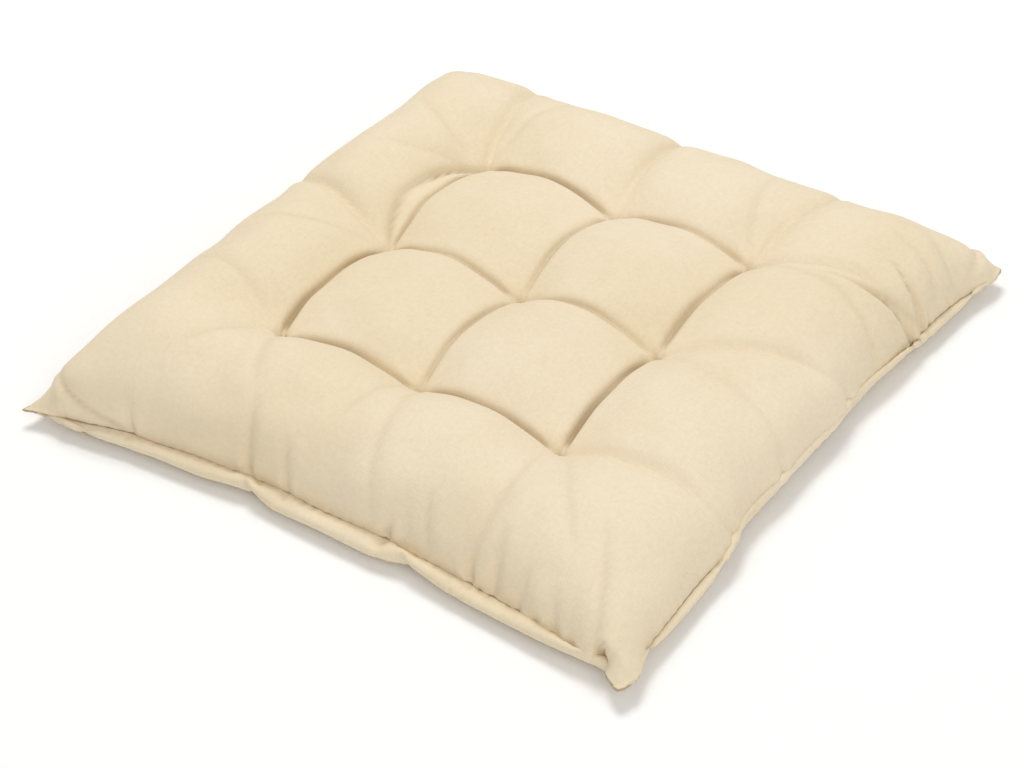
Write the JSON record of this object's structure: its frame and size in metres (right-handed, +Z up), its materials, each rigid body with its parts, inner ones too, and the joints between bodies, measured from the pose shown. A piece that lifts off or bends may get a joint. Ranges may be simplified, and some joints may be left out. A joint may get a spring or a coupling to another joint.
{
  "type": "chair seat pad",
  "caption": "Square tufted chair seat pad: soft cream cotton cover with knife-edge seams round a puffy fibre filling, flat underneath to rest on a seat.",
  "frame": {"origin": "on the face the pad rests on, under the middle of the pad", "axes": "+Z up out of the pad; +X and +Y along its sides, so the closed filling opening is on the +X side near the +Y corner"},
  "size_m": [0.4, 0.4, 0.0693],
  "materials": {
    "cotton": "plain-weave cotton, matt",
    "fibre": "loose white polyester fibre",
    "thread": "spun thread, matt"
  },
  "bodies": {
    "root": {"top_panel": "cotton", "bottom_panel": "cotton", "fibre_filling": "fibre", "edge_seam_thread": "thread", "closing_stitches": "thread", "tuft_stitch_front_left": "thread", "tuft_stitch_front_middle": "thread", "tuft_stitch_front_right": "thread", "tuft_stitch_middle_left": "thread", "tuft_stitch_centre": "thread", "tuft_stitch_middle_right": "thread", "tuft_stitch_back_left": "thread", "tuft_stitch_back_middle": "thread", "tuft_stitch_back_right": "thread"}
  },
  "joints": []
}
